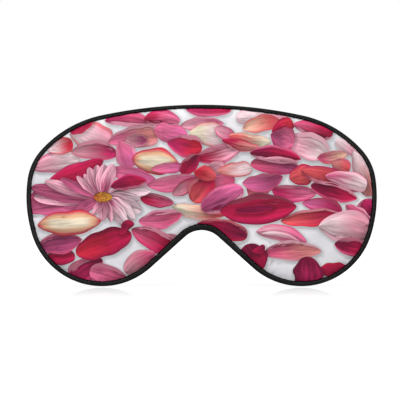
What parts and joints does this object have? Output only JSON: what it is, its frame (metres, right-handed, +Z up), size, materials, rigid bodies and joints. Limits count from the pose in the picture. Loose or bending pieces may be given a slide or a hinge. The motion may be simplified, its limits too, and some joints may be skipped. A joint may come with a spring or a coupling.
{
  "type": "sleep eye mask",
  "caption": "Padded contoured sleep eye mask with a petal-print front, black bound edge, nose notch and an adjustable black elastic head strap.",
  "frame": {"origin": "top of the nose notch, on the mask's middle line, in the plane of the lining's back, where the mask sits on the bridge of the nose", "axes": "+X to the right of someone facing the printed front, +Z up as worn, +Y backwards from the mask towards the back of the wearer's head; the printed front faces -Y"},
  "size_m": [0.2046, 0.1222, 0.106],
  "materials": {
    "printed_satin": "polyester satin, printed with scattered petals, soft sheen",
    "wadding": "fluffy white polyester wadding",
    "blackout_cloth": "matt black tightly woven cloth",
    "lining_cloth": "matt black brushed jersey",
    "binding_tape": "black folded woven tape, slightly satin",
    "black_thread": "black polyester sewing thread",
    "white_thread": "white cotton basting thread",
    "label_satin": "white satin label tape, blank",
    "strap_elastic": "black woven elastic, ribbed along its length",
    "tab_tape": "black grosgrain tape, ribbed across",
    "ring_metal": "black coated wire, semi-gloss",
    "slider_plastic": "moulded black acetal, semi-gloss"
  },
  "bodies": {
    "mask": {"front_panel": "printed_satin", "front_wadding": "wadding", "blackout_core": "blackout_cloth", "back_wadding": "wadding", "back_lining": "lining_cloth", "edge_binding": "binding_tape", "binding_end_fold": "binding_tape", "needle_thread_front": "black_thread", "bobbin_thread_back": "black_thread", "basting_thread": "white_thread", "care_label": "label_satin", "strap_end_left": "strap_elastic", "strap_side_left": "strap_elastic", "strap_side_right": "strap_elastic", "strap_return": "strap_elastic", "strap_tab": "tab_tape", "end_tack_left": "black_thread", "tab_tacks": "black_thread"},
    "strap_rear": {"strap_back": "strap_elastic"},
    "ring": {"strap_ring": "ring_metal", "strap_ring_turn": "strap_elastic"},
    "slider": {"strap_slider": "slider_plastic", "strap_end_fold": "strap_elastic", "slider_tacks": "black_thread"}
  },
  "joints": [
    {"name": "strap_stretch", "type": "slide", "parent": "mask", "child": "strap_rear", "axis": [0, 1, 0], "range_m": [0, 0.06], "stiffness_N_per_m": 40, "deforming": ["strap_side_left", "strap_side_right"]},
    {"name": "slider_travel", "type": "slide", "parent": "mask", "child": "slider", "axis": [0, 1, 0], "range_m": [0, 0.018], "deforming": ["strap_return"]},
    {"name": "ring_tilt", "type": "hinge", "parent": "mask", "child": "ring", "pos_m": [0.0962, 0.012, 0.0176], "axis": [0, 0, 1], "range_deg": [-10, 10], "stiffness_Nm_per_rad": 0.002}
  ]
}
